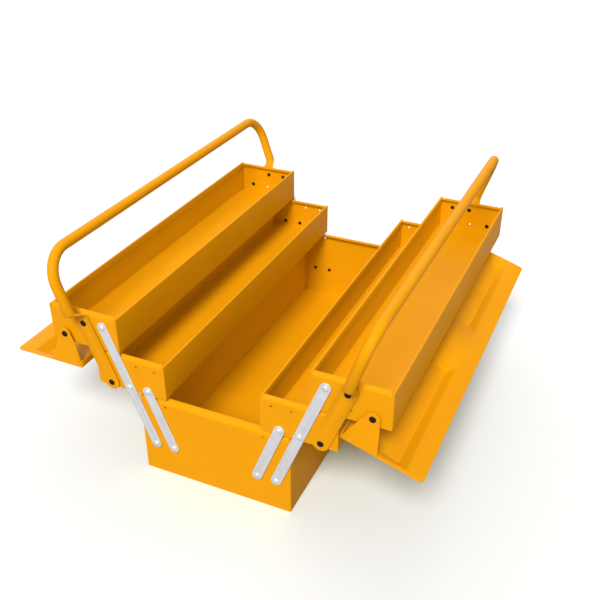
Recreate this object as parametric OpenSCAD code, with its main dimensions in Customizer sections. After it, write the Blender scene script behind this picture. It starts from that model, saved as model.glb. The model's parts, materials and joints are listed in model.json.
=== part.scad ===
// Cantilever tool box with five bins, drawn with both sides swung open.
// The origin is the centre of the base's underside. X runs along the box and +Z is up.
// Each side is drawn once, as the rear (+Y) side, and mirrored for the front.

/* [Base bin] */
// Length of the base and of the trays
box_length = 495; // [440:5:600]
// Depth of the base, front to back
box_depth = 200; // [190:2:240]
// Height of the base bin
base_height = 113; // [105:1:130]
// Sheet thickness of the base
base_sheet = 1; // [0.8:0.1:1.4]

/* [Trays] */
// Height of a tray
tray_height = 48; // [45:1:56]
// Sheet thickness of the trays
tray_sheet = 0.9; // [0.7:0.1:1.2]
// Gap between two stacked bins when closed
stack_gap = 2; // [1:0.5:4]
// Distance from the middle plane to a closed tray's inner wall
centre_gap = 2.5; // [1.5:0.5:4]
// How far a closed tray's outer wall stands back from the face of the base
wall_setback = 2.5; // [1.5:0.5:4]

/* [Folded edges] */
// Outer radius of the bends along the bottom of a bin
bend_radius = 2; // [1.5:0.1:3]
// Width of the folded hem along the top of a long wall
hem_width = 3.2; // [2.8:0.1:4]
// Height of the folded hems
hem_height = 8; // [6:0.5:10]
// Radius of the rolled top edge of an end wall
roll_radius = 4; // [3:0.5:5]
// Flat part of the rolled edge, behind the roll
roll_flat = 1.5; // [1:0.5:3]
// Width of the weld flanges of an end wall
weld_flange = 10; // [6:1:14]

/* [Linkage] */
// Distance between the pivots of one stage
stage_length = 82.5; // [78:0.5:86]
// Lean of the links from the vertical, inward when closed and outward when open
lean = 21.3; // [18:0.1:23]
// Depth of the base's pivots below its rim
low_pivot_drop = 68; // [66:1:70]
// Distance from the face of the base to the long link's pivot
long_link_inset = 18; // [14:1:20]
// Distance between the short link and the long link
link_spacing = 25; // [23:0.5:27]
// Distance between the long link and the handle's arm
arm_spacing = 25.7; // [24:0.1:27]
// Width of a link
link_width = 13; // [11:0.5:15]
// Thickness of a link
link_thickness = 2; // [1.5:0.1:2.4]
// Space between an end wall and the links
link_gap = 0.6; // [0.5:0.1:1]

/* [Handles] */
// Diameter of the handle tube
tube_diameter = 13; // [11:0.5:15]
// Wall of the handle tube
tube_wall = 1.2; // [1:0.1:1.5]
// Distance from the upper pivot to the middle of the hand bar
handle_reach = 93; // [88:1:110]
// Inward lean of the handle's leg against its arm
leg_lean = 3; // [0:0.5:5]
// Radius of the tube's bends, to its middle
tube_bend = 36; // [30:1:42]
// Width of the flattened arm
arm_width = 20; // [18:0.5:21]
// Gap between a leg and the end of the lid
leg_gap = 2; // [0.6:0.1:3]
// Flat part of the arm between the upper rivet's head and the crank
crank_margin = 4; // [1.5:0.5:5]
// Length of the crank between the flat arm and the round leg
crank_length = 12; // [10:1:14]

/* [Lids] */
// Sheet thickness of the lids
lid_sheet = 1; // [0.8:0.1:1.2]
// How far a lid overhangs the end walls
lid_overhang = 8.7; // [8.5:0.1:12]
// Depth of the lid's long flange
lid_flange = 10; // [7:0.5:12]
// Distance from the upper tray's outer wall to the lid's pivot
lid_pivot_inset = 20.5; // [18:0.5:23]
// Height of the lid's pivot above the upper tray's bottom
lid_pivot_height = 12.5; // [9:0.5:14]
// Angle that the front lid turns through, from shut to hanging open
front_lid_turn = 198; // [190:1:200]
// Angle that the rear lid turns through, from shut to lying open
rear_lid_turn = 180; // [175:1:190]
// Clearance between the lid and the rounded rim that it swings over
lid_clearance = 0.3; // [0.3:0.05:1]
// Gap between the lid and the middle plane
seam_gap = 0.4; // [0.3:0.1:1]
// Space between an end wall and the lid's ear
ear_gap = 3.9; // [3.8:0.1:5]
// Radius of the ear around the pivot
ear_radius = 8; // [7:0.5:10]
// Height of the ear's flat part above the pivot
ear_flat = 12; // [11:0.5:16]
// Width of the ear where it leaves the lid
ear_width = 45; // [40:1:52]
// Height of the pressed panels
panel_height = 11; // [4:0.5:12]
// Flat strip between the panels and the free edge
edge_strip = 21; // [17:1:24]
// Width of the panel's steep side
panel_side = 10; // [7:0.5:11]
// Width of the panel's slanted ends
panel_slant = 10; // [7:0.5:12]
// Distance from the lid's middle to a panel
panel_start = 44; // [40:1:60]
// Distance from a panel to the lid's end
panel_margin = 6; // [5:1:12]
// Distance from a panel to the lid's flange
panel_back = 12; // [10:1:16]

/* [Hasp] */
// Width of the hasp at its foot
hasp_width = 36; // [30:1:42]
// Width of the hasp at its top
hasp_top_width = 28; // [20:1:30]
// Height of the hasp
hasp_height = 18; // [16:1:22]
// Thickness of the hasp
hasp_sheet = 1.5; // [1.2:0.1:2]
// Depth of the hasp's foot
hasp_foot = 10; // [8:1:12]
// Diameter of the padlock hole
hasp_hole = 7; // [5:0.5:8]
// Height of the padlock hole above the lid
hasp_hole_height = 11.5; // [10:0.5:12]
// Height at which the hasp's slanted sides end
hasp_shoulder = 13; // [10:0.5:15]
// Width of the slit across half of the hasp
hasp_slit = 1.2; // [0.8:0.1:1.5]
// Height of the slit above the lid
hasp_slit_height = 3; // [2.5:0.5:5]

/* [Rivets] */
// Radius of a rivet's shank
shank_radius = 2.5; // [2:0.1:3]
// Radius of a rivet's head
head_radius = 4; // [3.6:0.1:5]
// Height of a link rivet's round head
head_height = 1.7; // [1.2:0.1:2]
// Height of a handle rivet's low head
low_head_height = 1.2; // [1:0.1:1.4]
// Height of a lid rivet's head
lid_head_height = 2; // [1.2:0.1:2.4]
// Height of the formed tail inside the bin
tail_height = 1.4; // [1:0.1:2]
// Radius of the formed tail
tail_radius = 3; // [2.8:0.1:3.6]
// Radial clearance of a hole that turns on a rivet
pivot_clearance = 0.05; // [0.03:0.01:0.08]
// Clearance along a rivet on each side of what turns on it
side_play = 0.25; // [0.2:0.05:0.3]
// Diameter of the spare holes in the tray ends
spare_hole = 3; // [2:0.5:4]
// Distance from the rim to the middle tray's spare holes
spare_drop = 11; // [10.5:0.5:14]
// Distance of the middle tray's spare holes from the pivots beside them
spare_offset = 10.5; // [9:0.5:12]
// Height of the upper tray's spare hole
spare_height = 11.5; // [8:0.5:14]
// Distance from the upper tray's outer wall to its spare hole
spare_inset = 46.5; // [45:0.5:48]

/* [Hidden] */
$fn = 48;

// Colours of the finishes
paint = "orange";
zinc = "lightgray";
black = "dimgray";

// Which side and which end a piece is mirrored to
front = [0, 1, 0];
rear = [0, 0, 0];
left = [1, 0, 0];
right = [0, 0, 0];

// Bins
half_length = box_length / 2;
tray_inner = centre_gap;
tray_outer = box_depth / 2 - wall_setback;
tray_width = tray_outer - tray_inner;
middle_bottom = base_height + stack_gap;
upper_bottom = middle_bottom + tray_height + stack_gap;

// One stage of the linkage lifts by this and swings out by twice its lean
low_pivot_height = base_height - low_pivot_drop;
stage_lift = stage_length * cos(lean);
stage_shift = 2 * stage_length * sin(lean);
middle_shift = stage_shift;
upper_shift = 2 * stage_shift;
middle_pivot_height = low_pivot_height + stage_lift;
upper_pivot_height = middle_pivot_height + stage_lift;

// Distances of the pivots from the middle plane when closed
step_in = stage_shift / 2;
long_link_out = box_depth / 2 - long_link_inset;
short_link_out = long_link_out - link_spacing;
long_middle_out = long_link_out - step_in;
short_top_out = short_link_out - step_in;
long_top_out = long_middle_out - step_in;
arm_low_out = long_middle_out + arm_spacing;
arm_top_out = arm_low_out - step_in;

// Handle, along its leg from the upper pivot. The crank lies a little inside the arm's outline.
weld_inset = 0.1;
arm_thickness = 2 * tube_wall;
tube_radius = tube_diameter / 2;
crank_start = head_radius + crank_margin;
crank_end = crank_start + crank_length;
leg_x = half_length + lid_overhang + leg_gap + tube_radius;
leg_length = handle_reach - tube_bend - crank_end;
bend_x = leg_x - tube_bend;

// Lid, from its pivot: outward and up when shut. Its underside clears the rounded rim on its way over.
lid_half = half_length + lid_overhang;
lid_pivot_out = tray_outer - lid_pivot_inset;
lid_outer = box_depth / 2 - lid_pivot_out;
lid_inner = lid_pivot_out - seam_gap;
rim_over_pivot = tray_height - lid_pivot_height;
rim_radius = hem_width / 2;
lid_reach = norm([lid_pivot_inset - rim_radius, rim_over_pivot - rim_radius]) + rim_radius + lid_clearance;
ear_x = half_length + ear_gap;

// Puts a piece on its side of the box
module on(side) mirror(side) children();

// Extrudes an outline of Y and Z along X
module along_x(start, length)
    translate([start, 0, 0]) rotate([90, 0, 90]) linear_extrude(length) children();

// Extrudes an outline of X and Z along Y
module along_y(start, length)
    translate([0, start + length, 0]) rotate([90, 0, 0]) linear_extrude(length) children();

// Outline of a bin's cross-section, with rounded bottom bends
module bin_outline(width, height, radius) {
    translate([radius, 0]) square([width - 2 * radius, height]);
    translate([0, radius]) square([width, height - radius]);
    translate([radius, radius]) circle(radius);
    translate([width - radius, radius]) circle(radius);
}

// Folded hem of one long wall, hanging down inside from the top of the fold
module hem(sheet) {
    difference() {
        circle(rim_radius);
        circle(rim_radius - sheet);
        translate([-hem_width, -hem_width]) square([2 * hem_width, hem_width]);
    }
    translate([rim_radius - sheet, rim_radius - hem_height]) square([sheet, hem_height - rim_radius]);
}

// Bottom and long walls of a bin, bent from one sheet, with both top edges hemmed
module pan(width, height, sheet) {
    wall_top = height - rim_radius;
    along_x(sheet - half_length, 2 * (half_length - sheet)) {
        difference() {
            bin_outline(width, wall_top, bend_radius);
            translate([sheet, sheet]) bin_outline(width - 2 * sheet, height, bend_radius - sheet);
        }
        translate([rim_radius, wall_top]) hem(sheet);
        translate([width - rim_radius, wall_top]) mirror([1, 0]) hem(sheet);
    }
}

// Rolled top edge of an end wall: a quarter round, a flat and a lip
module rolled_edge(height, sheet) {
    translate([half_length - roll_radius, height - roll_radius]) intersection() {
        difference() {
            circle(roll_radius);
            circle(roll_radius - sheet);
        }
        square(roll_radius);
    }
    lip_x = half_length - roll_radius - roll_flat;
    translate([lip_x, height - sheet]) square([roll_flat, sheet]);
    translate([lip_x, height - hem_height]) square([sheet, hem_height - sheet]);
}

// Right-hand end wall of a bin, welded over the end of its pan
module end_wall(width, height, sheet) {
    wall_top = height - roll_radius;
    along_x(half_length - sheet, sheet) {
        bin_outline(width, wall_top, bend_radius);
        for (corner = [rim_radius, width - rim_radius]) {
            translate([corner, height - rim_radius]) circle(rim_radius);
            translate([corner - rim_radius, wall_top]) square([hem_width, roll_radius - rim_radius]);
        }
    }
    along_y(hem_width, width - 2 * hem_width) rolled_edge(height, sheet);
    flange_height = height - hem_height - 2 * bend_radius;
    for (wall = [sheet, width - 2 * sheet])
        translate([half_length - sheet - weld_flange, wall, bend_radius])
            cube([weld_flange, sheet, flange_height]);
}

// A round hole along X through the right-hand end, at a distance out and a height
module end_hole(out, height, radius)
    translate([half_length - weld_flange, out, height]) rotate([0, 90, 0])
        cylinder(r = radius, h = 2 * weld_flange);

// Points of a round rivet end, from its rim at the start to its crown
function crown(start, radius, height, steps = 6) =
    [for (i = [0:steps]) [radius * cos(90 * i / steps), start + height * sin(90 * i / steps)]];

// The same points in the opposite order
function backwards(points) = [for (i = [len(points) - 1:-1:0]) points[i]];

// A rivet along X through the right-hand end: its tail inside, a shank through the wall, a collar that
// holds what turns on it off the wall, and its head outside
module rivet(out, height, sheet, gap, grip, crown_height) {
    head_start = gap + grip + side_play;
    translate([half_length, out, height]) rotate([0, 90, 0]) rotate_extrude() polygon(concat(
        backwards(crown(-sheet, tail_radius, -tail_height)),
        [[shank_radius, -sheet], [shank_radius, 0]],
        [[head_radius, 0], [head_radius, gap - side_play]],
        [[shank_radius, gap - side_play], [shank_radius, head_start]],
        crown(head_start, head_radius, crown_height)
    ));
}

// The same piece at both ends
module both_ends() {
    children();
    mirror(left) children();
}

module base_pan() color(paint)
    translate([0, -box_depth / 2, 0]) pan(box_depth, base_height, base_sheet);

module base_end() color(paint) difference() {
    translate([0, -box_depth / 2, 0]) end_wall(box_depth, base_height, base_sheet);
    for (side = [front, rear], out = [long_link_out, short_link_out])
        mirror(side) end_hole(out, low_pivot_height, shank_radius);
}

module base_end_left() mirror(left) base_end();
module base_end_right() base_end();

module base_rivets() color(zinc) both_ends()
    for (side = [front, rear], out = [long_link_out, short_link_out])
        mirror(side) rivet(out, low_pivot_height, base_sheet, link_gap, link_thickness, head_height);

// A flat bar with round ends, standing on its lowest pivot, with a hole at each pivot
module link(pivots) {
    length = pivots[len(pivots) - 1];
    rotate([-lean, 0, 0]) along_x(half_length + link_gap, link_thickness) difference() {
        union() {
            circle(link_width / 2);
            translate([-link_width / 2, 0]) square([link_width, length]);
            translate([0, length]) circle(link_width / 2);
        }
        for (at = pivots) translate([0, at]) circle(shank_radius + pivot_clearance);
    }
}

module long_link() color(zinc)
    translate([0, long_link_out, low_pivot_height]) link([0, stage_length, 2 * stage_length]);

module short_link() color(zinc)
    translate([0, short_link_out, low_pivot_height]) link([0, stage_length]);

module front_long_link_left() on(front) mirror(left) long_link();
module front_long_link_right() on(front) long_link();
module rear_long_link_left() on(rear) mirror(left) long_link();
module rear_long_link_right() on(rear) long_link();
module front_short_link_left() on(front) mirror(left) short_link();
module front_short_link_right() on(front) short_link();
module rear_short_link_left() on(rear) mirror(left) short_link();
module rear_short_link_right() on(rear) short_link();

module tray_pan() translate([0, tray_inner, 0]) pan(tray_width, tray_height, tray_sheet);

module tray_end() translate([0, tray_inner, 0]) end_wall(tray_width, tray_height, tray_sheet);

module middle_pan() color(paint) translate([0, middle_shift, middle_bottom]) tray_pan();

module middle_end() color(paint) translate([0, middle_shift, 0]) difference() {
    translate([0, 0, middle_bottom]) tray_end();
    for (out = [short_top_out, long_middle_out, arm_low_out])
        end_hole(out, middle_pivot_height, shank_radius);
    for (out = [short_top_out, long_middle_out])
        end_hole(out - spare_offset, middle_bottom + tray_height - spare_drop, spare_hole / 2);
}

module middle_link_rivets() color(zinc) both_ends()
    for (out = [short_top_out, long_middle_out])
        rivet(out + middle_shift, middle_pivot_height, tray_sheet, link_gap, link_thickness, head_height);

module middle_handle_rivets() color(black) both_ends()
    rivet(arm_low_out + middle_shift, middle_pivot_height, tray_sheet, link_gap, arm_thickness,
        low_head_height);

module front_middle_pan() on(front) middle_pan();
module front_middle_end_left() on(front) mirror(left) middle_end();
module front_middle_end_right() on(front) middle_end();
module front_middle_link_rivets() on(front) middle_link_rivets();
module front_middle_handle_rivets() on(front) middle_handle_rivets();
module rear_middle_pan() on(rear) middle_pan();
module rear_middle_end_left() on(rear) mirror(left) middle_end();
module rear_middle_end_right() on(rear) middle_end();
module rear_middle_link_rivets() on(rear) middle_link_rivets();
module rear_middle_handle_rivets() on(rear) middle_handle_rivets();

module upper_pan() color(paint) translate([0, upper_shift, upper_bottom]) tray_pan();

module upper_end() color(paint) translate([0, upper_shift, 0]) difference() {
    translate([0, 0, upper_bottom]) tray_end();
    for (out = [long_top_out, arm_top_out]) end_hole(out, upper_pivot_height, shank_radius);
    end_hole(lid_pivot_out, upper_bottom + lid_pivot_height, shank_radius);
    end_hole(tray_outer - spare_inset, upper_bottom + spare_height, spare_hole / 2);
}

module upper_link_rivets() color(zinc) both_ends()
    rivet(long_top_out + upper_shift, upper_pivot_height, tray_sheet, link_gap, link_thickness, head_height);

module upper_handle_rivets() color(black) both_ends()
    rivet(arm_top_out + upper_shift, upper_pivot_height, tray_sheet, link_gap, arm_thickness,
        low_head_height);

module lid_rivets() color(black) both_ends()
    rivet(lid_pivot_out + upper_shift, upper_bottom + lid_pivot_height, tray_sheet, ear_gap, lid_sheet,
        lid_head_height);

module front_upper_pan() on(front) upper_pan();
module front_upper_end_left() on(front) mirror(left) upper_end();
module front_upper_end_right() on(front) upper_end();
module front_upper_link_rivets() on(front) upper_link_rivets();
module front_upper_handle_rivets() on(front) upper_handle_rivets();
module front_lid_rivets() on(front) lid_rivets();
module rear_upper_pan() on(rear) upper_pan();
module rear_upper_end_left() on(rear) mirror(left) upper_end();
module rear_upper_end_right() on(rear) upper_end();
module rear_upper_link_rivets() on(rear) upper_link_rivets();
module rear_upper_handle_rivets() on(rear) upper_handle_rivets();
module rear_lid_rivets() on(rear) lid_rivets();

module tube_ring() difference() {
    circle(tube_radius);
    circle(tube_radius - tube_wall);
}

// Ring of points round the crank's section: a flattened tube at share 0, a round one at share 1
function crank_ring(share, count) =
    let (
        eased = (1 - cos(180 * min(max(share, 0), 1))) / 2,
        thickness = (arm_thickness + eased * (tube_diameter - arm_thickness)) / 2 - weld_inset,
        width = (arm_width + eased * (tube_diameter - arm_width)) / 2 - weld_inset,
        middle = half_length + link_gap + arm_thickness / 2,
        squareness = (1 + eased) / 2
    )
    [for (i = [0:count - 1]) let (c = cos(360 * i / count), s = sin(360 * i / count)) [
        middle + eased * (leg_x - middle) + sign(c) * pow(abs(c), squareness) * thickness,
        sign(s) * pow(abs(s), squareness) * width,
        crank_start + share * crank_length
    ]];

// Crank from the flat arm out to the round leg, running a little way into both
module crank(count = 16) {
    shares = [-0.1, 0, 0.3, 0.5, 0.7, 1, 1.1];
    rings = len(shares);
    polyhedron(
        points = [for (share = shares) each crank_ring(share, count)],
        faces = concat(
            [[for (i = [0:count - 1]) i]],
            [for (k = [0:rings - 2], i = [0:count - 1])
                let (a = k * count + i, b = k * count + (i + 1) % count) [a, a + count, b]],
            [for (k = [0:rings - 2], i = [0:count - 1])
                let (a = k * count + i, b = k * count + (i + 1) % count) [b, a + count, b + count]],
            [[for (i = [count - 1:-1:0]) (rings - 1) * count + i]]
        )
    );
}

// Right half of the tube from the crank up to the middle of the hand bar, along the leg
module half_loop() {
    crank();
    translate([leg_x, 0, crank_end]) linear_extrude(leg_length) tube_ring();
    translate([bend_x, 0, handle_reach - tube_bend]) rotate([90, 0, 0])
        rotate_extrude(angle = 90) translate([tube_bend, 0]) tube_ring();
}

// Flattened arm between the two pivots, running on up to the crank
module handle_arm() along_x(half_length + link_gap, arm_thickness) difference() {
    union() {
        translate([0, -stage_length]) circle(arm_width / 2);
        translate([-arm_width / 2, -stage_length]) square([arm_width, stage_length + crank_start]);
    }
    for (at = [0, -stage_length]) translate([0, at]) circle(shank_radius + pivot_clearance);
}

module handle() color(paint)
    translate([0, arm_top_out + upper_shift, upper_pivot_height]) rotate([-lean, 0, 0]) {
        both_ends() handle_arm();
        rotate([leg_lean, 0, 0]) {
            both_ends() half_loop();
            along_x(-bend_x, 2 * bend_x) translate([0, handle_reach]) tube_ring();
        }
    }

module front_handle() on(front) handle();
module rear_handle() on(rear) handle();

// Swings a lid piece, drawn shut about its pivot, to where it hangs open
module hung_open(turn)
    translate([0, lid_pivot_out + upper_shift, upper_bottom + lid_pivot_height])
        rotate([-turn, 0, 0]) children();

// Cross-section of the lid: the flat sheet, a rounded fold and the long outer flange
module lid_section() {
    fold = [lid_outer - bend_radius, lid_reach + lid_sheet - bend_radius];
    translate([-lid_inner, lid_reach]) square([lid_inner + fold[0], lid_sheet]);
    translate(fold) intersection() {
        difference() {
            circle(bend_radius);
            circle(bend_radius - lid_sheet);
        }
        square(bend_radius);
    }
    translate([lid_outer - lid_sheet, lid_reach + lid_sheet - lid_flange])
        square([lid_sheet, lid_flange - bend_radius]);
}

// A pressed panel that rises from the flange towards the free edge and drops down a steep side
module panel_wedge(base) {
    near_edge = -lid_inner + edge_strip;
    crest = near_edge + panel_side;
    back = lid_outer - panel_back;
    panel_end = lid_half - panel_margin;
    translate([0, 0, base]) polyhedron(
        points = [
            [panel_start, near_edge, 0], [panel_end, near_edge, 0],
            [panel_end - panel_slant, back, 0], [panel_start + panel_slant, back, 0],
            [panel_start + panel_slant, crest, panel_height],
            [panel_end - panel_slant, crest, panel_height],
        ],
        faces = [[0, 1, 2, 3], [0, 4, 5, 1], [4, 3, 2, 5], [0, 3, 4], [1, 5, 2]]
    );
}

// Bent ear at the right-hand end: flat at the pivot, slanting out to the end of the lid
module ear() intersection() {
    along_y(-ear_width, 2 * ear_width) polygon([
        [ear_x, -2 * ear_radius], [ear_x, ear_flat], [lid_half - lid_sheet, lid_reach],
        [lid_half - lid_sheet, lid_reach + lid_sheet], [lid_half, lid_reach + lid_sheet],
        [lid_half, lid_reach], [ear_x + lid_sheet, ear_flat], [ear_x + lid_sheet, -2 * ear_radius],
    ]);
    along_x(half_length, 2 * lid_overhang) hull() {
        circle(ear_radius, $fn = 32);
        translate([lid_outer - ear_width, lid_reach]) square([ear_width, lid_sheet]);
    }
}

module lid_shell() difference() {
    union() {
        along_x(-lid_half, 2 * lid_half) lid_section();
        both_ends() panel_wedge(lid_reach + lid_sheet);
        both_ends() ear();
    }
    both_ends() panel_wedge(lid_reach);
    both_ends() translate([half_length, 0, 0]) rotate([0, 90, 0])
        cylinder(r = shank_radius + pivot_clearance, h = 2 * lid_overhang);
}

module lid(turn) color(paint) hung_open(turn) lid_shell();

// Upright leaf at the free edge with a padlock hole and a slit, on a foot welded to the lid
module hasp_leaf() translate([0, -lid_inner, lid_reach + lid_sheet]) {
    half_width = hasp_width / 2;
    half_top = hasp_top_width / 2;
    translate([-half_width, 0, 0]) cube([hasp_width, hasp_foot, hasp_sheet]);
    along_y(0, hasp_sheet) difference() {
        polygon([
            [-half_width, 0], [half_width, 0], [half_width, 2 * hasp_slit_height],
            [half_top, hasp_shoulder], [half_top, hasp_height],
            [-half_top, hasp_height], [-half_top, hasp_shoulder], [-half_width, 2 * hasp_slit_height],
        ]);
        translate([0, hasp_hole_height]) circle(d = hasp_hole);
        translate([-half_width, hasp_slit_height]) square([half_width - hasp_sheet, hasp_slit]);
    }
}

module hasp(turn) color(paint) hung_open(turn) hasp_leaf();

module front_lid() on(front) lid(front_lid_turn);
module front_hasp() on(front) hasp(front_lid_turn);
module rear_lid() on(rear) lid(rear_lid_turn);
module rear_hasp() on(rear) hasp(rear_lid_turn);

base_pan();
base_end_left();
base_end_right();
base_rivets();
front_long_link_left();
front_long_link_right();
rear_long_link_left();
rear_long_link_right();
front_short_link_left();
front_short_link_right();
rear_short_link_left();
rear_short_link_right();
front_middle_pan();
front_middle_end_left();
front_middle_end_right();
front_middle_link_rivets();
front_middle_handle_rivets();
rear_middle_pan();
rear_middle_end_left();
rear_middle_end_right();
rear_middle_link_rivets();
rear_middle_handle_rivets();
front_upper_pan();
front_upper_end_left();
front_upper_end_right();
front_upper_link_rivets();
front_upper_handle_rivets();
front_lid_rivets();
rear_upper_pan();
rear_upper_end_left();
rear_upper_end_right();
rear_upper_link_rivets();
rear_upper_handle_rivets();
rear_lid_rivets();
front_handle();
rear_handle();
front_lid();
front_hasp();
rear_lid();
rear_hasp();
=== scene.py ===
import bpy
import bmesh
import json
from math import acos, atan2, copysign, cos, hypot, pi, radians, sin, sqrt
from mathutils import Vector, Matrix


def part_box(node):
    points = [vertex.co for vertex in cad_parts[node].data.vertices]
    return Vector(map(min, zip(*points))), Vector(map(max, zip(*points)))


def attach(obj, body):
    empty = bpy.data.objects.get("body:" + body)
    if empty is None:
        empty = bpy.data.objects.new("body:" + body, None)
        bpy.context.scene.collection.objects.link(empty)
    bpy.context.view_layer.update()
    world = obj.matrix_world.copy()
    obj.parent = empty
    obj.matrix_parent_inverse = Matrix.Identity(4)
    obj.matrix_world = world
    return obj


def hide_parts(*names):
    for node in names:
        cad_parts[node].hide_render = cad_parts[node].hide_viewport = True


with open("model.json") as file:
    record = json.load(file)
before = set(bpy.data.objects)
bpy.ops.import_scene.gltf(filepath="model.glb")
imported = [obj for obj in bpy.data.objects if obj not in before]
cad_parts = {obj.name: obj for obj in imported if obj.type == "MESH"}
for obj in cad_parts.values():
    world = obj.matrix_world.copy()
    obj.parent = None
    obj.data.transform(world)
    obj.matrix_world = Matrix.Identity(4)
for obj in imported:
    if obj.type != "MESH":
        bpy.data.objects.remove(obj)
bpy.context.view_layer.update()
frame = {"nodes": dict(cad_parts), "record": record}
nodes = frame["nodes"]
print("frame loaded:", len(nodes), "nodes")

# sizes that several pieces share, in metres
halfLength = 0.2475      # from the middle to the outer face of the end walls
stage = 0.0825           # between neighbouring pivots of a link or a handle's arm
pivotBore = 0.00255      # radius of a hole that turns on a rivet
drillSides = 32
drillDepth = 0.01
slack = 0.00002          # places nearer than this count as one
mergeDistance = 0.00001


# materials

paint = {
    "colour": (0.90, 0.362, 0.003, 1),
    "deepColour": (0.86, 0.340, 0.002, 1),
    "bouncedColour": (0.72, 0.56, 0.05, 1),
    "roughness": (0.36, 0.50),
    "patchSize": 9,          # patches of slightly deeper paint, per metre
    "smearSize": 35,
    "peelSize": 1400,        # grain of the sprayed coat
    "peelStrength": 0.02,
    "peelDepth": 0.001,
    "specular": 0.06,
    "coat": 0.03,
    "coatRoughness": 0.12,
}

zinc = {
    "colour": (0.93, 0.93, 0.95, 1),
    "deepColour": (0.82, 0.82, 0.85, 1),
    "tailColour": (0.045, 0.014, 0.006, 1),
    "roughness": (0.34, 0.56),
    "metal": 0.5,
    "patchSize": 90,
    "grainSize": 900,
    "grainStrength": 0.06,
    "grainDepth": 0.0006,
}

black = {
    "colour": (0.006, 0.003, 0.003, 1),
    "deepColour": (0.02, 0.008, 0.006, 1),
    "roughness": 0.45,
    "specular": 0.2,
    "patchSize": 300,
    "patchStrength": 0.05,
    "patchDepth": 0.0004,
}

rampEnds = (0.3, 0.7)    # where the noise reaches each of a finish's two colours


def newMaterial(name):
    material = bpy.data.materials.new(name)
    material.use_nodes = True
    tree = material.node_tree
    return material, tree, tree.nodes["Principled BSDF"]


def noiseOn(tree, scale, detail=3):
    coords = tree.nodes.new("ShaderNodeTexCoord")
    noise = tree.nodes.new("ShaderNodeTexNoise")
    noise.inputs["Scale"].default_value = scale
    noise.inputs["Detail"].default_value = detail
    tree.links.new(coords.outputs["Object"], noise.inputs["Vector"])
    return noise.outputs["Fac"]


def rampFrom(tree, source, low, high):
    ramp = tree.nodes.new("ShaderNodeValToRGB")
    for element, colour, position in zip(ramp.color_ramp.elements, (low, high), rampEnds):
        element.color = colour
        element.position = position
    tree.links.new(source, ramp.inputs["Fac"])
    return ramp.outputs["Color"]


def mixFrom(tree, share, low, high):
    # low where the share is 0 and high where it is 1, each a colour or another node's output
    mix = tree.nodes.new("ShaderNodeMixRGB")
    tree.links.new(share, mix.inputs["Fac"])
    for socket, colour in (("Color1", low), ("Color2", high)):
        if isinstance(colour, tuple):
            mix.inputs[socket].default_value = colour
        else:
            tree.links.new(colour, mix.inputs[socket])
    return mix.outputs["Color"]


def spreadFrom(tree, source, span):
    spread = tree.nodes.new("ShaderNodeMapRange")
    spread.inputs["To Min"].default_value = span[0]
    spread.inputs["To Max"].default_value = span[1]
    tree.links.new(source, spread.inputs["Value"])
    return spread.outputs["Result"]


def bumpFrom(tree, source, shader, strength, distance):
    bump = tree.nodes.new("ShaderNodeBump")
    bump.inputs["Strength"].default_value = strength
    bump.inputs["Distance"].default_value = distance
    tree.links.new(source, bump.inputs["Height"])
    tree.links.new(bump.outputs["Normal"], shader.inputs["Normal"])


def makePaint(name):
    material, tree, shader = newMaterial(name)
    patches = noiseOn(tree, paint["patchSize"])
    colour = rampFrom(tree, patches, paint["deepColour"], paint["colour"])
    # light that bounces off the paint is paler, so that the open bins don't glow red
    rays = tree.nodes.new("ShaderNodeLightPath")
    colour = mixFrom(tree, rays.outputs["Is Diffuse Ray"], colour, paint["bouncedColour"])
    tree.links.new(colour, shader.inputs["Base Color"])
    smears = noiseOn(tree, paint["smearSize"], 4)
    rough = spreadFrom(tree, smears, paint["roughness"])
    tree.links.new(rough, shader.inputs["Roughness"])
    shader.inputs["Specular IOR Level"].default_value = paint["specular"]
    shader.inputs["Coat Weight"].default_value = paint["coat"]
    shader.inputs["Coat Roughness"].default_value = paint["coatRoughness"]
    peel = noiseOn(tree, paint["peelSize"], 2)
    bumpFrom(tree, peel, shader, paint["peelStrength"], paint["peelDepth"])
    return material


def tailsDarkened(tree, headColour):
    # a rivet's tail, inside the end walls, is coloured dark reddish brown
    coords = tree.nodes.new("ShaderNodeTexCoord")
    split = tree.nodes.new("ShaderNodeSeparateXYZ")
    out = tree.nodes.new("ShaderNodeMath")
    out.operation = "ABSOLUTE"
    isHead = tree.nodes.new("ShaderNodeMath")
    isHead.operation = "GREATER_THAN"
    isHead.inputs[1].default_value = halfLength
    tree.links.new(coords.outputs["Object"], split.inputs["Vector"])
    tree.links.new(split.outputs["X"], out.inputs[0])
    tree.links.new(out.outputs["Value"], isHead.inputs[0])
    return mixFrom(tree, isHead.outputs["Value"], zinc["tailColour"], headColour)


def makeZinc(name, darkTails=False):
    material, tree, shader = newMaterial(name)
    shader.inputs["Metallic"].default_value = zinc["metal"]
    spangle = noiseOn(tree, zinc["patchSize"], 4)
    colour = rampFrom(tree, spangle, zinc["deepColour"], zinc["colour"])
    if darkTails:
        colour = tailsDarkened(tree, colour)
    tree.links.new(colour, shader.inputs["Base Color"])
    grain = noiseOn(tree, zinc["grainSize"])
    rough = spreadFrom(tree, grain, zinc["roughness"])
    tree.links.new(rough, shader.inputs["Roughness"])
    bumpFrom(tree, grain, shader, zinc["grainStrength"], zinc["grainDepth"])
    return material


def makeBlack(name):
    material, tree, shader = newMaterial(name)
    patches = noiseOn(tree, black["patchSize"])
    colour = rampFrom(tree, patches, black["colour"], black["deepColour"])
    tree.links.new(colour, shader.inputs["Base Color"])
    shader.inputs["Roughness"].default_value = black["roughness"]
    shader.inputs["Specular IOR Level"].default_value = black["specular"]
    bumpFrom(tree, patches, shader, black["patchStrength"], black["patchDepth"])
    return material


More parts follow.
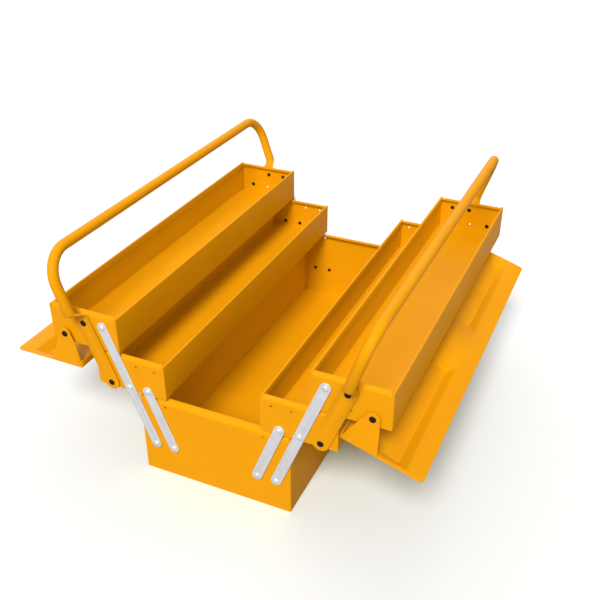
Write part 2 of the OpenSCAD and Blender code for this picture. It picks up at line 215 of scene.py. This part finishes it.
finishes = {
    "paint": makePaint("glossPaint"),
    "tube_paint": makePaint("glossTubePaint"),
    "zinc": makeZinc("zincPlate"),
    "black": makeBlack("blackedSteel"),
    "zincRivets": makeZinc("zincRivets", darkTails=True),
}
slotOf = {part["node"]: part["material_slot"] for part in frame["record"]["subparts"]}
for name, obj in nodes.items():
    obj.data.materials.clear()
    obj.data.materials.append(finishes[slotOf[name]])
print("finishes put on every node")


# modelling helpers


def inEdit(obj):
    bpy.context.view_layer.objects.active = obj
    bpy.ops.object.mode_set(mode="EDIT")


def inObject():
    if bpy.context.mode != "OBJECT":
        bpy.ops.object.mode_set(mode="OBJECT")


def nothingSelected():
    inObject()
    bpy.ops.object.select_all(action="DESELECT")


def onlySelected(*objs):
    nothingSelected()
    for obj in objs:
        obj.select_set(True)
    bpy.context.view_layer.objects.active = objs[0]


def started(name, size=(1, 1, 1)):
    # names the new primitive, gives it its size and puts its place into its mesh
    obj = bpy.context.object
    obj.name = name
    obj.data.name = name
    obj.scale = size
    bpy.ops.object.transform_apply(location=True, rotation=True, scale=True)
    return obj


def near(a, b):
    return abs(a - b) < slack


def between(a, low, high):
    return low - slack < a < high + slack


def pick(obj, kind, test):
    # selects the vertices, edges or faces whose corners all pass the test
    bpy.ops.mesh.select_mode(type=kind)
    bpy.ops.mesh.select_all(action="DESELECT")
    mesh = bmesh.from_edit_mesh(obj.data)
    parts = {"VERT": mesh.verts, "EDGE": mesh.edges, "FACE": mesh.faces}[kind]
    for part in parts:
        corners = [part] if kind == "VERT" else part.verts
        part.select = all(test(corner.co) for corner in corners)
    mesh.select_flush_mode()
    bmesh.update_edit_mesh(obj.data)


def push(x=0, y=0, z=0):
    bpy.ops.mesh.extrude_region_move(TRANSFORM_OT_translate={"value": (x, y, z)})


def cut(place, direction):
    bpy.ops.mesh.select_all(action="SELECT")
    bpy.ops.mesh.bisect(plane_co=place, plane_no=direction)


def cleaned():
    bpy.ops.mesh.select_all(action="SELECT")
    bpy.ops.mesh.remove_doubles(threshold=mergeDistance)
    bpy.ops.mesh.normals_make_consistent(inside=False)


def applied(obj, kind, **settings):
    onlySelected(obj)
    modifier = obj.modifiers.new(kind.lower(), kind)
    for setting, value in settings.items():
        setattr(modifier, setting, value)
    bpy.ops.object.modifier_apply(modifier=modifier.name)


def thickened(obj, sheet):
    applied(obj, "SOLIDIFY", thickness=sheet, offset=-1, use_even_offset=True)


def softened(obj, width, segments=2, angle=40):
    applied(obj, "BEVEL", width=width, segments=segments,
            limit_method="ANGLE", angle_limit=radians(angle))


def smoothed(obj, angle=35):
    onlySelected(obj)
    bpy.ops.object.shade_smooth_by_angle(angle=radians(angle))


def carved(obj, tool):
    applied(obj, "BOOLEAN", operation="DIFFERENCE", solver="EXACT", object=tool)
    bpy.data.objects.remove(tool)


def bored(obj, place, radius, depth=drillDepth, turn=(0, pi / 2, 0)):
    nothingSelected()
    bpy.ops.mesh.primitive_cylinder_add(vertices=drillSides, radius=radius, depth=depth,
                                        location=place, rotation=turn)
    carved(obj, bpy.context.object)


def joined(name, objs):
    onlySelected(*objs)
    bpy.ops.object.join()
    objs[0].name = name
    return objs[0]


def mirrorCopy(obj, name, axis):
    # a copy on the other side of the middle, with its faces turned outward again
    twin = obj.copy()
    twin.data = obj.data.copy()
    twin.name = name
    bpy.context.scene.collection.objects.link(twin)
    flip = Vector((1, 1, 1))
    flip[axis] = -1
    twin.data.transform(Matrix.Diagonal(flip.to_4d()))
    onlySelected(twin)
    inEdit(twin)
    bpy.ops.mesh.select_all(action="SELECT")
    bpy.ops.mesh.flip_normals()
    inObject()
    return twin


def finished(obj, finish, body, *standsFor):
    obj.data.materials.clear()
    obj.data.materials.append(finishes[finish])
    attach(obj, body)
    if standsFor:
        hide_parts(*standsFor)


# bins: folded pans with hemmed long edges

folds = {
    "baseSheet": 0.001,
    "traySheet": 0.0009,
    "bend": 0.002,
    "bendSteps": 4,
    "hemRadius": 0.0016,
    "hemSteps": 8,
    "hemHeight": 0.008,
    "hemCorner": 0.98,       # share of the hem's radius that rounds an end wall's top corners
    "baseRoll": 0.0070,
    "trayRoll": 0.0048,
    "rollSteps": 8,
    "rollFlat": 0.0008,
    "rollReturn": 0.003,
    "weldFlange": 0.010,
    "spareHole": 0.0015,
    "edgeSoftness": 0.00018,
}


def makePan(name, node, sheet):
    low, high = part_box(node)
    wallTop = high.z - folds["hemRadius"]
    nothingSelected()
    bpy.ops.mesh.primitive_cube_add(size=1, location=(0, (low.y + high.y) / 2, (low.z + wallTop) / 2))
    obj = started(name, (high.x - low.x, high.y - low.y, wallTop - low.z))
    inEdit(obj)
    pick(obj, "FACE", lambda co: near(co.z, wallTop))
    bpy.ops.mesh.delete(type="FACE")
    for end in (low.x, high.x):
        pick(obj, "FACE", lambda co: near(co.x, end))
        bpy.ops.mesh.delete(type="FACE")
    for wall, curl in ((low.y, 1), (high.y, -1)):
        pick(obj, "EDGE", lambda co: near(co.y, wall) and near(co.z, wallTop))
        bpy.ops.mesh.spin(steps=folds["hemSteps"], angle=pi, axis=(curl, 0, 0),
                          center=(0, wall + curl * folds["hemRadius"], wallTop))
        push(z=folds["hemRadius"] - folds["hemHeight"])
    for wall in (low.y, high.y):
        pick(obj, "EDGE", lambda co: near(co.y, wall) and near(co.z, low.z))
        bpy.ops.mesh.bevel(offset=folds["bend"], segments=folds["bendSteps"])
    cleaned()
    inObject()
    thickened(obj, sheet)
    smoothed(obj)
    return obj


def makeFlange(name, low, high, wall, sheet):
    # a welded strip that stands in the corner between an end wall and a long wall
    bottom = low.z + folds["bend"]
    top = high.z - folds["hemHeight"] - folds["bend"]
    nothingSelected()
    bpy.ops.mesh.primitive_cube_add(size=1, location=(high.x - sheet - folds["weldFlange"] / 2,
                                                      wall, (bottom + top) / 2))
    flange = started(name, (folds["weldFlange"], sheet, top - bottom))
    softened(flange, folds["edgeSoftness"])
    return flange


def makeEnd(name, node, sheet, roll, spareHoles):
    # right-hand end wall: its middle is rolled inward along the top, and its corners close the hems
    low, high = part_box(node)
    middle = (low + high) / 2
    rollStart = high.z - roll
    inner = low.y + 2 * folds["hemRadius"], high.y - 2 * folds["hemRadius"]
    nothingSelected()
    bpy.ops.mesh.primitive_plane_add(size=1, location=(high.x, middle.y, middle.z),
                                     rotation=(0, pi / 2, 0))
    obj = started(name, (high.z - low.z, high.y - low.y, 1))
    inEdit(obj)
    cut((0, 0, rollStart), (0, 0, 1))
    for y in inner:
        cut((0, y, 0), (0, 1, 0))
    pick(obj, "FACE", lambda co: between(co.y, *inner) and co.z > rollStart - slack)
    bpy.ops.mesh.delete(type="FACE")
    pick(obj, "EDGE", lambda co: between(co.y, *inner) and near(co.z, rollStart))
    bpy.ops.mesh.spin(steps=folds["rollSteps"], angle=pi / 2, axis=(0, 1, 0),
                      center=(high.x - roll, 0, rollStart))
    push(x=-folds["rollFlat"])
    push(z=-folds["rollReturn"])
    pick(obj, "VERT", lambda co: near(co.x, high.x) and near(co.z, low.z)
         and (near(co.y, low.y) or near(co.y, high.y)))
    bpy.ops.mesh.bevel(offset=folds["bend"], segments=folds["bendSteps"], affect="VERTICES")
    pick(obj, "VERT", lambda co: near(co.x, high.x) and near(co.z, high.z))
    bpy.ops.mesh.bevel(offset=folds["hemRadius"] * folds["hemCorner"],
                       segments=folds["bendSteps"], affect="VERTICES")
    cleaned()
    inObject()
    thickened(obj, sheet)
    for y, z in spareHoles:
        bored(obj, (high.x, y, z), folds["spareHole"])
    flanges = [makeFlange(name + "Flange", low, high, wall, sheet)
               for wall in (low.y + sheet * 1.5, high.y - sheet * 1.5)]
    obj = joined(name, [obj] + flanges)
    smoothed(obj)
    return obj


# links: flat bars with round ends

linkBar = {
    "width": 0.013,
    "sides": 48,
    "thickness": 0.002,
    "lean": 21.3,        # degrees outward with the box open
    "gap": 0.0006,       # under a link or a handle's arm
    "softness": 0.00045,
}


def makeLink(name, foot, length, pivots):
    x = halfLength + linkBar["gap"] + linkBar["thickness"] / 2
    nothingSelected()
    bpy.ops.mesh.primitive_cylinder_add(vertices=linkBar["sides"], radius=linkBar["width"] / 2,
                                        depth=linkBar["thickness"],
                                        location=(x, 0, 0), rotation=(0, pi / 2, 0))
    obj = started(name)
    inEdit(obj)
    pick(obj, "VERT", lambda co: co.z > slack)
    bpy.ops.transform.translate(value=(0, 0, length))
    inObject()
    for at in pivots:
        bored(obj, (x, 0, at), pivotBore)
    softened(obj, linkBar["softness"], 3, 50)
    lean = Matrix.Rotation(radians(-linkBar["lean"]), 4, "X")
    obj.data.transform(Matrix.Translation((0, *foot)) @ lean)
    smoothed(obj)
    return obj


# rivets: tail, collar, shank and a domed head, all turned about one line

rivetForm = {
    "sides": 32,
    "shank": 0.0025,
    "tail": 0.003,
    "tailHeight": 0.0014,
    "collar": 0.004,
    "head": 0.004,
    "linkHead": 0.0017,      # heights of the three kinds of head
    "armHead": 0.0012,
    "earHead": 0.002,
    "domeSteps": 5,
    "play": 0.00025,
}


def domeRings(start, height, radius):
    # a round end, as places along the rivet and radii, from its rim to just short of its crown
    turns = [radians(90 * i / rivetForm["domeSteps"]) for i in range(rivetForm["domeSteps"])]
    return [(start + height * sin(turn), radius * cos(turn)) for turn in turns]


def makeRivet(name, place, sheet, gap, grip, crown):
    form = rivetForm
    collarEnd = gap - form["play"]
    headStart = gap + grip + form["play"]
    rings = domeRings(-sheet, -form["tailHeight"], form["tail"])[::-1]
    rings += [(-sheet, form["shank"]), (0, form["shank"]),
              (0, form["collar"]), (collarEnd, form["collar"]),
              (collarEnd, form["shank"]), (headStart, form["shank"])]
    rings += domeRings(headStart, crown, form["head"])
    x, y, z = place
    nothingSelected()
    bpy.ops.mesh.primitive_circle_add(vertices=form["sides"], radius=rings[0][1], fill_type="NGON",
                                      location=(x + rings[0][0], y, z), rotation=(0, pi / 2, 0))
    obj = started(name)
    inEdit(obj)
    bpy.ops.mesh.select_all(action="SELECT")
    for (start, radius), (end, nextRadius) in zip(rings, rings[1:]):
        growth = nextRadius / radius
        push(x=end - start)
        bpy.ops.transform.resize(value=(1, growth, growth), center_override=(x + end, y, z))
    push(x=headStart + crown - rings[-1][0])
    bpy.ops.mesh.merge(type="CENTER")
    cleaned()
    inObject()
    smoothed(obj, 40)
    return obj


# handles: one bent tube whose two ends are pressed flat

tube = {
    "radius": 0.0065,
    "sides": 32,
    "armWidth": 0.020,
    "armThickness": 0.0024,
    "flatSquareness": 0.35,  # how square the flat arm's section is: 1 would be an oval
    "crankStart": 0.008,     # heights over the upper pivot
    "crankEnd": 0.020,
    "crankSteps": 6,
    "reach": 0.093,
    "bend": 0.036,
    "bendSteps": 14,
    "legX": 0.2647,
    "legLean": 3,
    "tipSteps": 6,
    "tipWidth": 0.12,        # width of the arm's last ring, as a share of the one before
    "mirrorMerge": 0.0001,
}


def tubeSection(share):
    # half thickness, half width, squareness and place along X of the section, from flat to round
    eased = (1 - cos(pi * share)) / 2
    thickness = tube["armThickness"] / 2 + eased * (tube["radius"] - tube["armThickness"] / 2)
    width = tube["armWidth"] / 2 + eased * (tube["radius"] - tube["armWidth"] / 2)
    squareness = tube["flatSquareness"] + (1 - tube["flatSquareness"]) * eased
    flatX = halfLength + linkBar["gap"] + tube["armThickness"] / 2
    return thickness, width, squareness, flatX + eased * (tube["legX"] - flatX)


def shapeRing(obj, centreX, share, z):
    # gives the selected ring the section's form
    thickness, width, squareness, x = tubeSection(share)
    mesh = bmesh.from_edit_mesh(obj.data)
    for vert in mesh.verts:
        if vert.select:
            across = atan2(vert.co.y, vert.co.x - centreX)
            c, s = cos(across), sin(across)
            vert.co = (x + copysign(abs(c) ** squareness, c) * thickness,
                       copysign(abs(s) ** squareness, s) * width, z)
    bmesh.update_edit_mesh(obj.data)


def makeHandle(name, pivot):
    # worked about the upper pivot with the arm upright, then leaned out and moved to its place
    legTop = tube["reach"] - tube["bend"]
    nothingSelected()
    bpy.ops.mesh.primitive_circle_add(vertices=tube["sides"], radius=tube["radius"],
                                      location=(tube["legX"], 0, tube["crankEnd"]))
    obj = started(name)
    inEdit(obj)
    bpy.ops.mesh.select_all(action="SELECT")
    push(z=legTop - tube["crankEnd"])
    bpy.ops.mesh.spin(steps=tube["bendSteps"], angle=pi / 2, axis=(0, 1, 0),
                      center=(tube["legX"] - tube["bend"], 0, legTop))
    push(x=tube["bend"] - tube["legX"])
    # the crank and the flat arm grow downward from the first ring
    pick(obj, "VERT", lambda co: near(co.z, tube["crankEnd"]))
    stepDown = (tube["crankEnd"] - tube["crankStart"]) / tube["crankSteps"]
    z = tube["crankEnd"]
    for i in range(1, tube["crankSteps"] + 1):
        share = 1 - i / tube["crankSteps"]
        centreX = tubeSection(share + 1 / tube["crankSteps"])[3]
        push(z=-stepDown)
        z -= stepDown
        shapeRing(obj, centreX, share, z)
    flatX = tubeSection(0)[3]
    push(z=-stage - z)
    z = -stage
    # the arm's round end, ring by ring
    for i in range(1, tube["tipSteps"]):
        angle = radians(90 * i / tube["tipSteps"])
        before = cos(radians(90 * (i - 1) / tube["tipSteps"]))
        target = -stage - tube["armWidth"] / 2 * sin(angle)
        push(z=target - z)
        z = target
        bpy.ops.transform.resize(value=(1, cos(angle) / before, 1), center_override=(flatX, 0, z))
    push(z=-stage - tube["armWidth"] / 2 - z)
    bpy.ops.transform.resize(value=(1, tube["tipWidth"], 1), center_override=(flatX, 0, z))
    bpy.ops.mesh.edge_face_add()
    # the leg above the crank leans a little more than the arm
    lean = Matrix.Rotation(radians(tube["legLean"]), 4, "X")
    mesh = bmesh.from_edit_mesh(obj.data)
    for vert in mesh.verts:
        share = (vert.co.z - tube["crankStart"]) / (tube["crankEnd"] - tube["crankStart"])
        vert.co = vert.co.lerp(lean @ vert.co, min(1, max(0, share)))
    bmesh.update_edit_mesh(obj.data)
    cleaned()
    inObject()
    applied(obj, "MIRROR", use_axis=(True, False, False), merge_threshold=tube["mirrorMerge"])
    for side in (-1, 1):
        for at in (0, -stage):
            bored(obj, (side * flatX, 0, at), pivotBore)
    outward = Matrix.Rotation(radians(-linkBar["lean"]), 4, "X")
    obj.data.transform(Matrix.Translation(pivot) @ outward)
    onlySelected(obj)
    inEdit(obj)
    cleaned()
    inObject()
    smoothed(obj, 40)
    return obj


# lids: pressed sheets with a flange and two bent ears

lidForm = {
    "halfLength": 0.2562,
    "inner": 0.0766,         # from the pivot to the free edge
    "outer": 0.023,          # from the pivot to the flange
    "top": 0.041713,
    "sheet": 0.001,
    "flange": 0.010,
    "bend": 0.002,
    "bendSteps": 5,
    "edgeStrip": 0.021,
    "panelStart": 0.044,
    "panelEnd": 0.2502,
    "panelInset": 0.002,
    "panelSide": 0.010,      # run of the steep side
    "panelSlant": 0.010,     # run of the slanted ends
    "panelHeight": 0.011,
    "panelBack": 0.012,
    "panelBackHeight": 0.0002,
    "crestSoftness": 0.0016,
    "footSoftness": 0.00128,
    "earWidth": 0.045,
    "earX": 0.2524,
    "earGap": 0.0039,
    "earFlat": 0.012,
    "earRadius": 0.008,
    "earRows": (0, -0.003, -0.0055, -0.0072, -0.00795),    # heights down the ear's round end
    "softness": 0.00022,
    "cornerRound": 0.005,
    "mirrorMerge": 0.00005,
    "turns": {"front": 198, "rear": 180},
}


def earSpan(height):
    # where the ear begins and ends at a height: straight sides that run onto a round end
    form = lidForm
    radius = form["earRadius"]
    full = form["top"] - form["sheet"]
    span = []
    for side, corner in ((-1, form["outer"] - form["earWidth"]), (1, form["outer"])):
        angle = atan2(full, corner) - side * acos(radius / hypot(corner, full))
        footY, footZ = radius * cos(angle), radius * sin(angle)
        if height > footZ:
            span.append(footY + (corner - footY) * (height - footZ) / (full - footZ))
        else:
            span.append(side * sqrt(radius * radius - height * height))
    return span


def placeRow(obj, x, z, left, right):
    # spreads the selected row of vertices across the ear at a height
    mesh = bmesh.from_edit_mesh(obj.data)
    row = sorted((vert for vert in mesh.verts if vert.select), key=lambda vert: vert.co.y)
    first, last = row[0].co.y, row[-1].co.y
    for vert in row:
        share = (vert.co.y - first) / (last - first)
        vert.co = (x, left + share * (right - left), z)
    bmesh.update_edit_mesh(obj.data)


def nudge(obj, start, end):
    pick(obj, "VERT", lambda co: (co - Vector(start)).length < slack)
    bpy.ops.transform.translate(value=Vector(end) - Vector(start))


def pressPanel(obj, foot, back):
    # raises the wedge: a crest beside the free edge, falling away toward the flange
    form = lidForm
    top, inset = form["top"], form["panelInset"]
    sides = form["panelStart"], form["panelEnd"]
    pick(obj, "FACE", lambda co: between(co.x, *sides) and between(co.y, foot, back))
    bpy.ops.mesh.inset(thickness=inset)
    for x, inward in zip(sides, (1, -1)):
        startX, crestX = x + inward * inset, x + inward * form["panelSlant"]
        nudge(obj, (startX, foot + inset, top),
              (crestX, foot + form["panelSide"], top + form["panelHeight"]))
        nudge(obj, (startX, back - inset, top),
              (crestX, back - inset, top + form["panelBackHeight"]))
    pick(obj, "EDGE", lambda co: co.z > top + slack)
    bpy.ops.mesh.bevel(offset=form["crestSoftness"], segments=4)
    pick(obj, "EDGE", lambda co: near(co.y, foot) and between(co.x, *sides))
    bpy.ops.mesh.bevel(offset=form["footSoftness"], segments=3)


def makeLid(name):
    # worked shut, about its pivot, one half at a time
    form = lidForm
    top = form["top"]
    edge = form["outer"] - form["bend"]
    foot = -form["inner"] + form["edgeStrip"]
    back = form["outer"] - form["panelBack"]
    nothingSelected()
    bpy.ops.mesh.primitive_plane_add(size=1, location=(form["halfLength"] / 2,
                                                       (edge - form["inner"]) / 2, top))
    obj = started(name, (form["halfLength"], edge + form["inner"], 1))
    inEdit(obj)
    for x in (form["panelStart"], form["panelEnd"]):
        cut((x, 0, 0), (1, 0, 0))
    for y in (foot, back):
        cut((0, y, 0), (0, 1, 0))
    pressPanel(obj, foot, back)
    pick(obj, "VERT", lambda co: near(co.x, form["halfLength"]) and near(co.y, -form["inner"]))
    bpy.ops.mesh.bevel(offset=form["cornerRound"], segments=5, affect="VERTICES")
    # long flange
    pick(obj, "EDGE", lambda co: near(co.y, edge))
    bpy.ops.mesh.spin(steps=form["bendSteps"], angle=pi / 2, axis=(1, 0, 0),
                      center=(0, edge, top - form["bend"]))
    push(z=form["bend"] - form["flange"])
    # ear
    earStart = form["outer"] - form["earWidth"]
    pick(obj, "FACE", lambda co: co.x > form["panelEnd"] - slack and near(co.z, top))
    bpy.ops.mesh.bisect(plane_co=(0, earStart, 0), plane_no=(0, 1, 0))
    pick(obj, "EDGE", lambda co: near(co.x, form["halfLength"])
         and co.y > earStart - slack and near(co.z, top))
    rows = [(form["halfLength"], top - form["sheet"]), (form["earX"], form["earFlat"])]
    rows += [(form["earX"], height) for height in form["earRows"]]
    for x, z in rows:
        push(z=-form["sheet"])
        placeRow(obj, x, z, *earSpan(z))
    cleaned()
    inObject()
    applied(obj, "MIRROR", use_axis=(True, False, False), merge_threshold=form["mirrorMerge"])
    thickened(obj, form["sheet"])
    softened(obj, form["softness"], 2, 50)
    bored(obj, (0, 0, 0), pivotBore, 4 * form["halfLength"])
    smoothed(obj, 40)
    return obj


# hasps: an upright leaf with a padlock hole, on a welded foot

haspForm = {
    "width": 0.036,
    "topWidth": 0.028,
    "height": 0.018,
    "waist": 0.006,          # the sides slant from here to the shoulder
    "shoulder": 0.013,
    "sheet": 0.0015,
    "foot": 0.010,
    "hole": 0.0035,
    "holeHeight": 0.0115,
    "slit": 0.0012,
    "slitHeight": 0.003,
    "slitEnd": 0.0015,       # from the leaf's middle
    "bladeDepth": 0.004,
    "softness": 0.0003,
}


def makeHasp(name):
    form = haspForm
    base = lidForm["top"]
    face = -lidForm["inner"]
    nothingSelected()
    bpy.ops.mesh.primitive_cube_add(size=1, location=(0, face + form["sheet"] / 2,
                                                      base + form["height"] / 2))
    leaf = started(name, (form["width"], form["sheet"], form["height"]))
    inEdit(leaf)
    for height in (form["waist"], form["shoulder"]):
        cut((0, 0, base + height), (0, 0, 1))
    pick(leaf, "VERT", lambda co: co.z > base + form["shoulder"] - slack)
    bpy.ops.transform.resize(value=(form["topWidth"] / form["width"], 1, 1),
                             center_override=(0, face, base))
    # the foot is bent back from the leaf's lower edge
    cut((0, 0, base + form["sheet"]), (0, 0, 1))
    pick(leaf, "FACE", lambda co: near(co.y, face + form["sheet"])
         and co.z < base + form["sheet"] + slack)
    push(y=form["foot"] - form["sheet"])
    inObject()
    softened(leaf, form["softness"], 3, 50)
    bored(leaf, (0, face, base + form["holeHeight"]), form["hole"], turn=(pi / 2, 0, 0))
    nothingSelected()
    bpy.ops.mesh.primitive_cube_add(size=1, location=(-form["width"] / 4 - form["slitEnd"], face,
                                                      base + form["slitHeight"] + form["slit"] / 2))
    carved(leaf, started("slitBlade", (form["width"] / 2, form["bladeDepth"], form["slit"])))
    smoothed(leaf, 40)
    return leaf


# every piece in its place, by its distance out from the middle and its height, with the box open

hinges = {
    "longFoot": (0.082, 0.045),
    "shortFoot": (0.057, 0.045),
    "lid": (0.196873, 0.1775),
    "spacing": 0.025,        # from a long link in to the short one
    "armSpacing": 0.0257,    # from a long link out to the handle's arm
}

step = stage * sin(radians(linkBar["lean"]))
lift = stage * cos(radians(linkBar["lean"]))
middleLong = (hinges["longFoot"][0] + step, hinges["longFoot"][1] + lift)
middleShort = (middleLong[0] - hinges["spacing"], middleLong[1])
middleArm = (middleLong[0] + hinges["armSpacing"], middleLong[1])
upperLong = (middleLong[0] + step, middleLong[1] + lift)
upperArm = (upperLong[0] + hinges["armSpacing"], upperLong[1])

spare = {
    "base": (0.0655, 0.1035),
    "middleHeight": 0.152,
    "middleOffset": 0.0105,  # from a link's pivot in to the hole
    "upper": (0.170873, 0.1765),
}

spareHoles = {
    "base": [(side * spare["base"][0], spare["base"][1]) for side in (-1, 1)],
    "middle": [(pivot[0] - spare["middleOffset"], spare["middleHeight"])
               for pivot in (middleShort, middleLong)],
    "upper": [spare["upper"]],
}


def hungOpen(obj, side):
    # from shut, about the pivot, to where it hangs with the side open
    y, z = hinges["lid"]
    out = 1 if side == "rear" else -1
    turn = Matrix.Rotation(radians(-out * lidForm["turns"][side]), 4, "X")
    obj.data.transform(Matrix.Translation((0, out * y, z)) @ turn)
    return obj


def bothSides(obj, name, node, body, finish):
    # the rear piece stands for the rear node, and its mirrored twin for the front one
    twin = mirrorCopy(obj, "front" + name, 1)
    finished(obj, finish, "rear_" + body, "rear_" + node)
    finished(twin, finish, "front_" + body, "front_" + node)


def rightAndLeft(obj, name):
    return obj, mirrorCopy(obj, name, 0)


basePan = makePan("basePan", "base_pan", folds["baseSheet"])
finished(basePan, "paint", "base", "base_pan")
baseEnd = makeEnd("baseEndRight", "base_end_right", folds["baseSheet"], folds["baseRoll"],
                  spareHoles["base"])
baseRight, baseLeft = rightAndLeft(baseEnd, "baseEndLeft")
finished(baseRight, "paint", "base", "base_end_right")
finished(baseLeft, "paint", "base", "base_end_left")
for tray in ("middle", "upper"):
    words = tray.title()
    body = tray + "_tray"
    pan = makePan("rear" + words + "Pan", "rear_" + tray + "_pan", folds["traySheet"])
    bothSides(pan, words + "Pan", tray + "_pan", body, "paint")
    end = makeEnd("rear" + words + "EndRight", "rear_" + tray + "_end_right",
                  folds["traySheet"], folds["trayRoll"], spareHoles[tray])
    right, left = rightAndLeft(end, "rear" + words + "EndLeft")
    bothSides(right, words + "EndRight", tray + "_end_right", body, "paint")
    bothSides(left, words + "EndLeft", tray + "_end_left", body, "paint")
print("bins folded")

for kind, foot, stages in (("long", hinges["longFoot"], 2), ("short", hinges["shortFoot"], 1)):
    words = kind.title() + "Link"
    pivots = [stage * i for i in range(stages + 1)]
    link = makeLink("rear" + words + "Right", foot, pivots[-1], pivots)
    right, left = rightAndLeft(link, "rear" + words + "Left")
    bothSides(right, words + "Right", kind + "_link_right", kind + "_links", "zinc")
    bothSides(left, words + "Left", kind + "_link_left", kind + "_links", "zinc")
print("links cut and bored")

# the gap under what turns on a rivet, its thickness, and the height of the rivet's head
linkFit = (linkBar["gap"], linkBar["thickness"], rivetForm["linkHead"])
armFit = (linkBar["gap"], tube["armThickness"], rivetForm["armHead"])
earFit = (lidForm["earGap"], lidForm["sheet"], rivetForm["earHead"])

rivetSets = [
    ("middle_link_rivets", "middle_tray", (middleLong, middleShort), linkFit, "zincRivets"),
    ("middle_handle_rivets", "middle_tray", (middleArm,), armFit, "black"),
    ("upper_link_rivets", "upper_tray", (upperLong,), linkFit, "zincRivets"),
    ("upper_handle_rivets", "upper_tray", (upperArm,), armFit, "black"),
    ("lid_rivets", "upper_tray", (hinges["lid"],), earFit, "black"),
]


def rivetGroup(name, places, sheet, fit):
    made = []
    for place in places:
        made += rightAndLeft(makeRivet(name, (halfLength, *place), sheet, *fit), name)
    return joined(name, made)


for node, body, places, fit, finish in rivetSets:
    words = "".join(word.title() for word in node.split("_"))
    group = rivetGroup("rear" + words, places, folds["traySheet"], fit)
    bothSides(group, words, node, body, finish)
rearBase = rivetGroup("rearBaseRivets", (hinges["longFoot"], hinges["shortFoot"]),
                      folds["baseSheet"], linkFit)
baseRivets = joined("baseRivets", [rearBase, mirrorCopy(rearBase, "frontBaseRivets", 1)])
finished(baseRivets, "zincRivets", "base", "base_rivets")
print("rivets set")

bothSides(makeHandle("rearHandle", (0, *upperArm)), "Handle", "handle", "handle", "tube_paint")
print("handles bent")

for kind, made in (("lid", makeLid("rearLid")), ("hasp", makeHasp("rearHasp"))):
    twin = mirrorCopy(made, "front" + kind.title(), 1)
    for side, piece in (("rear", made), ("front", twin)):
        finished(hungOpen(piece, side), "paint", side + "_lid", side + "_" + kind)
print("lids pressed and hung")


# floor, light and camera

studio = {
    "floorSize": 30,
    "floorColour": (0.9, 0.9, 0.9, 1),
    "floorBounce": (0.35, 0.35, 0.35, 1),
    "floorRoughness": 0.6,
    "skyColour": (1, 1, 1, 1),
    "skyLight": (0.40, 1.0),    # how brightly the sky lights the box, and how bright it looks
    "suns": {
        # where each comes from, how widely it spreads in degrees, and its strength
        "softSun": ((-1.25, -0.24, 1.35), 22, 2.9),
        "softFill": ((1.2, 0.8, 0.9), 70, 0.8),
    },
}

view = {
    "at": (-0.900, -0.407, 0.730),
    "aim": (0.0, 0.0, 0.135),
    "focal": 50,
    "sensor": 36,
    "farEnd": 50,
}


def aimed(obj, target):
    obj.rotation_euler = (Vector(target) - obj.location).to_track_quat("-Z", "Y").to_euler()


nothingSelected()
bpy.ops.mesh.primitive_plane_add(size=studio["floorSize"], location=(0, 0, 0))
floor = bpy.context.object
floor.name = "floor"
floorMaterial, floorTree, floorShader = newMaterial("paleFloor")
# the floor looks pale, but throws less light back up at the box
floorRays = floorTree.nodes.new("ShaderNodeLightPath")
floorColour = mixFrom(floorTree, floorRays.outputs["Is Camera Ray"],
                      studio["floorBounce"], studio["floorColour"])
floorTree.links.new(floorColour, floorShader.inputs["Base Color"])
floorShader.inputs["Roughness"].default_value = studio["floorRoughness"]
floor.data.materials.append(floorMaterial)

for name, (place, spread, power) in studio["suns"].items():
    bpy.ops.object.light_add(type="SUN", location=place)
    sun = bpy.context.object
    sun.name = name
    sun.data.energy = power
    sun.data.angle = radians(spread)
    aimed(sun, (0, 0, 0))

world = bpy.context.scene.world or bpy.data.worlds.new("studio")
bpy.context.scene.world = world
world.use_nodes = True
sky = world.node_tree
skyShader = sky.nodes["Background"]
skyShader.inputs["Color"].default_value = studio["skyColour"]
# the backdrop shows white, but lights the box more softly
skyRays = sky.nodes.new("ShaderNodeLightPath")
skyStrength = spreadFrom(sky, skyRays.outputs["Is Camera Ray"], studio["skyLight"])
sky.links.new(skyStrength, skyShader.inputs["Strength"])

bpy.ops.object.camera_add(location=view["at"])
camera = bpy.context.object
camera.name = "mainCamera"
camera.data.lens = view["focal"]
camera.data.sensor_width = view["sensor"]
camera.data.clip_end = view["farEnd"]
aimed(camera, view["aim"])
bpy.context.scene.camera = camera
bpy.context.scene.view_settings.view_transform = "Standard"
print("studio and camera ready")
